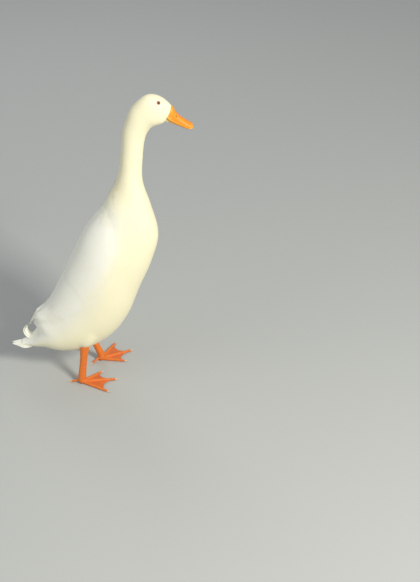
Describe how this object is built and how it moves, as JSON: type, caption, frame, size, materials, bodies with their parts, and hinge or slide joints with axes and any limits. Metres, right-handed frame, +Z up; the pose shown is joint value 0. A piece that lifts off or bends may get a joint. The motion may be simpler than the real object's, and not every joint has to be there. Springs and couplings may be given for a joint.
{
  "type": "indian runner duck",
  "caption": "Still, life-size Indian runner drake standing upright on webbed feet, with folded wings, curled tail feathers, a long slim neck and a wedge-shaped bill.",
  "frame": {"origin": "centre of the bounding box at the floor that the drake stands on", "axes": "+X the way the drake faces, +Y to its left, +Z up"},
  "size_m": [0.3838, 0.1854, 0.632],
  "materials": {
    "plumage": "white plumage with a faint cream tint, matt",
    "bill": "orange yellow horn, satin",
    "leg": "orange scaled skin, satin",
    "claw": "pale horn, satin",
    "eye": "dark brown, wet gloss"
  },
  "bodies": {
    "root": {"head": "plumage", "neck": "plumage", "torso": "plumage", "tail": "plumage", "wing_left": "plumage", "wing_right": "plumage", "thigh_left": "plumage", "thigh_right": "plumage", "shank_left": "leg", "shank_right": "leg", "foot_left": "leg", "foot_right": "leg", "bill_upper": "bill", "bill_lower": "bill", "eye_left": "eye", "eye_right": "eye", "claw_left_inner": "claw", "claw_left_middle": "claw", "claw_left_outer": "claw", "claw_left_hind": "claw", "claw_right_inner": "claw", "claw_right_middle": "claw", "claw_right_outer": "claw", "claw_right_hind": "claw"}
  },
  "joints": []
}
